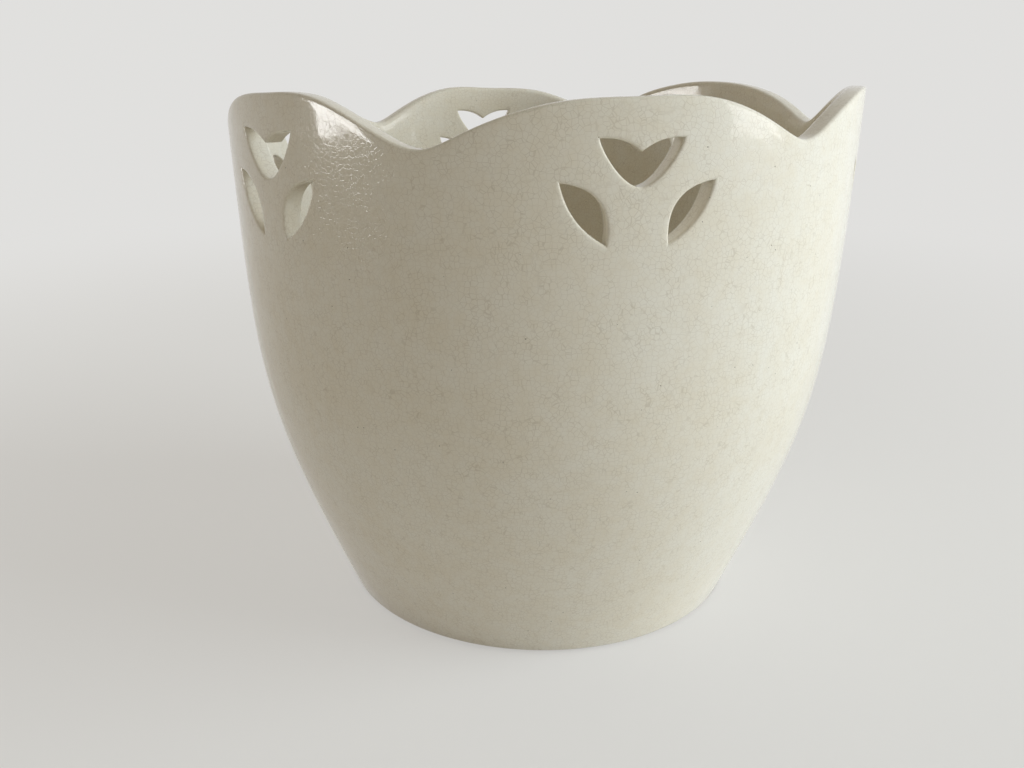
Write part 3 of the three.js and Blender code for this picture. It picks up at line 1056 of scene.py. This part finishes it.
def hang_softbox(name, direction, distance, lower_edge, width, height, radiance, tone, lights):
    """Hangs an upright lamp that faces the pot's axis, and either lights the pot or is mirrored in it."""
    lamp = bpy.data.lights.new(name, "AREA")
    lamp.shape = "RECTANGLE"
    lamp.size = width
    lamp.size_y = height
    lamp.energy = radiance * width * height * pi
    lamp.color = tone
    box = add_object(name, lamp)
    box.location = (distance * sin(direction), -distance * cos(direction), lower_edge + height / 2)
    box.rotation_euler = Euler((pi / 2, 0, direction))
    box.visible_camera = False
    box.visible_diffuse = lights
    box.visible_glossy = not lights


def hang_softboxes():
    """A large cool key from the right, a dimmer warm fill from behind on the left, and two glints."""
    hang_softbox(
        "key_softbox", direction=radians(68), distance=1.1, lower_edge=0.05, width=0.8, height=1,
        radiance=6.6, tone=(0.85, 0.94, 1), lights=True,
    )
    hang_softbox(
        "fill_softbox", direction=radians(-140), distance=1.1, lower_edge=0.02, width=0.8, height=0.6,
        radiance=1.5, tone=(1, 0.93, 0.8), lights=True,
    )
    for name, direction, radiance in (("left_glint", -79, 13), ("right_glint", 60, 3.5)):
        hang_softbox(
            name, direction=radians(direction), distance=1, lower_edge=0.07, width=0.4, height=0.3,
            radiance=radiance, tone=(1, 1, 1), lights=False,
        )


class POT_OT_studio(bpy.types.Operator):
    """Sets the floor, open under the foot so that light reaches it from below, the lamps and the camera"""

    bl_idname = "flower_pot.studio"
    bl_label = "Studio"

    def execute(self, context):
        scene = context.scene
        studio = scene.studio_setting
        pot = scene.pot_sizes
        bm = bmesh.new()
        for radius in (pot.foot_radius - pot.foot_round, STAGE_RADIUS):
            bmesh.ops.create_circle(bm, segments=STAGE_STEPS, radius=radius)
        bmesh.ops.bridge_loops(bm, edges=bm.edges[:])
        bmesh.ops.reverse_faces(bm, faces=[face for face in bm.faces if face.normal.z < 0])
        floor = add_mesh(bm, "studio_floor", floor_material(studio))
        scene.world = studio_world(studio)
        hang_softboxes()
        camera = bpy.data.cameras.new("camera")
        camera.lens = studio.lens
        view = add_object("camera", camera)
        view.location = studio.eye
        view.rotation_euler = Euler((pi / 2 - studio.pitch, 0, -studio.heading))
        scene.camera = view
        scene.view_settings.view_transform = "Standard"
        return {"FINISHED"}


class POT_PT_panel(bpy.types.Panel):
    """Lists the pot's pieces and its sizes"""

    bl_idname = "POT_PT_panel"
    bl_label = "Flower Pot"
    bl_space_type = "VIEW_3D"
    bl_region_type = "UI"
    bl_category = "Flower Pot"

    def draw(self, context):
        for operator in OPERATORS:
            self.layout.operator(operator.bl_idname)
        for name in SETTINGS:
            box = self.layout.box()
            group = getattr(context.scene, name)
            for value in type(group).__annotations__:
                box.prop(group, value)


SETTINGS = {
    "pot_sizes": PotSizes,
    "motif_sizes": MotifSizes,
    "glaze_finish": GlazeFinish,
    "clay_finish": ClayFinish,
    "studio_setting": StudioSetting,
}
OPERATORS = (POT_OT_clay_body, POT_OT_glaze_coat, POT_OT_studio)
CLASSES = (*SETTINGS.values(), *OPERATORS, POT_PT_panel)


def register():
    for cls in CLASSES:
        bpy.utils.register_class(cls)
    for name, group in SETTINGS.items():
        setattr(bpy.types.Scene, name, PointerProperty(type=group))


def unregister():
    for name in SETTINGS:
        delattr(bpy.types.Scene, name)
    for cls in reversed(CLASSES):
        bpy.utils.unregister_class(cls)


def main():
    register()
    bpy.ops.flower_pot.clay_body()
    bpy.ops.flower_pot.glaze_coat()
    bpy.ops.flower_pot.studio()


if __name__ == "__main__":
    main()
